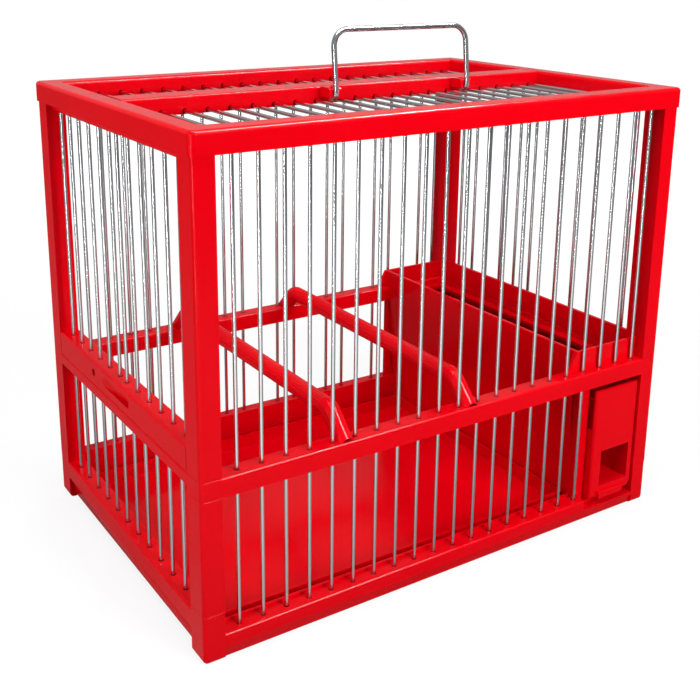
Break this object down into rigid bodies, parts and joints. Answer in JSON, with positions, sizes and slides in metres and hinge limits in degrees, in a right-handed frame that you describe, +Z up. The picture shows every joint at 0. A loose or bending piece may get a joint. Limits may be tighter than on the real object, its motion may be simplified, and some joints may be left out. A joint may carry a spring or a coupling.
{
  "type": "bird cage",
  "caption": "Box-shaped bird cage with a red moulded frame, upright steel wires, a top-hinged side door, feeder drawer, slide-out tray, perches and a folding carry handle",
  "frame": {"origin": "centre of the footprint, on the floor under the feet", "axes": "+X to the right along the long side, -Y towards the front, +Z up"},
  "size_m": [0.3, 0.203, 0.2852],
  "materials": {
    "red_plastic": "glossy injection-moulded red plastic",
    "steel_wire": "bright drawn steel wire"
  },
  "bodies": {
    "frame": {"base_rail_front": "red_plastic", "base_rail_left": "red_plastic", "base_rail_rear": "red_plastic", "base_rail_right": "red_plastic", "drawer_jamb": "red_plastic", "drawer_sill": "red_plastic", "feeder_collar": "red_plastic", "feeder_floor": "red_plastic", "feeder_ledge": "red_plastic", "feeder_partition": "red_plastic", "feeder_rear_panel": "red_plastic", "feeder_side_panel": "red_plastic", "foot_front_left": "red_plastic", "foot_front_right": "red_plastic", "foot_rear_left": "red_plastic", "foot_rear_right": "red_plastic", "front_short_wires": "steel_wire", "front_wires": "steel_wire", "handle_lug_left": "red_plastic", "handle_lug_right": "red_plastic", "left_wires": "steel_wire", "lower_post_front_left": "red_plastic", "lower_post_front_right": "red_plastic", "lower_post_rear_left": "red_plastic", "lower_post_rear_right": "red_plastic", "mid_corner_front_left": "red_plastic", "mid_corner_front_right": "red_plastic", "mid_corner_rear_left": "red_plastic", "mid_corner_rear_right": "red_plastic", "mid_rail_front": "red_plastic", "mid_rail_left": "red_plastic", "mid_rail_rear": "red_plastic", "mid_rail_right": "red_plastic", "rear_wires": "steel_wire", "right_wires": "steel_wire", "roof_bar": "red_plastic", "roof_wires": "steel_wire", "top_corner_front_left": "red_plastic", "top_corner_front_right": "red_plastic", "top_corner_rear_left": "red_plastic", "top_corner_rear_right": "red_plastic", "top_rail_front": "red_plastic", "top_rail_left": "red_plastic", "top_rail_rear": "red_plastic", "top_rail_right": "red_plastic", "tray_runner_front": "red_plastic", "tray_runner_rear": "red_plastic", "upper_post_front_left": "red_plastic", "upper_post_front_right": "red_plastic", "upper_post_rear_left": "red_plastic", "upper_post_rear_right": "red_plastic"},
    "side_door": {"door_bar": "red_plastic", "door_rod": "steel_wire", "door_wires": "steel_wire"},
    "feeder_drawer": {"feeder_drawer": "red_plastic"},
    "droppings_tray": {"droppings_tray": "red_plastic"},
    "carry_handle": {"carry_handle": "steel_wire"},
    "perch_left": {"perch_left": "red_plastic"},
    "perch_right": {"perch_right": "red_plastic"}
  },
  "joints": [
    {"name": "door_hinge", "type": "hinge", "parent": "frame", "child": "side_door", "pos_m": [-0.144, 0, 0.239], "axis": [0, 1, 0], "range_deg": [0, 80]},
    {"name": "drawer_slide", "type": "slide", "parent": "frame", "child": "feeder_drawer", "axis": [0, -1, 0], "range_m": [0, 0.15]},
    {"name": "tray_slide", "type": "slide", "parent": "frame", "child": "droppings_tray", "axis": [-1, 0, 0], "range_m": [0, 0.2]},
    {"name": "handle_pivot", "type": "hinge", "parent": "frame", "child": "carry_handle", "pos_m": [0.0261, -0.0056, 0.2507], "axis": [1, 0, 0], "range_deg": [0, 80]},
    {"name": "perch_left_lift", "type": "slide", "parent": "frame", "child": "perch_left", "axis": [0, 0, 1], "range_m": [0, 0.03]},
    {"name": "perch_right_lift", "type": "slide", "parent": "frame", "child": "perch_right", "axis": [0, 0, 1], "range_m": [0, 0.03]}
  ]
}
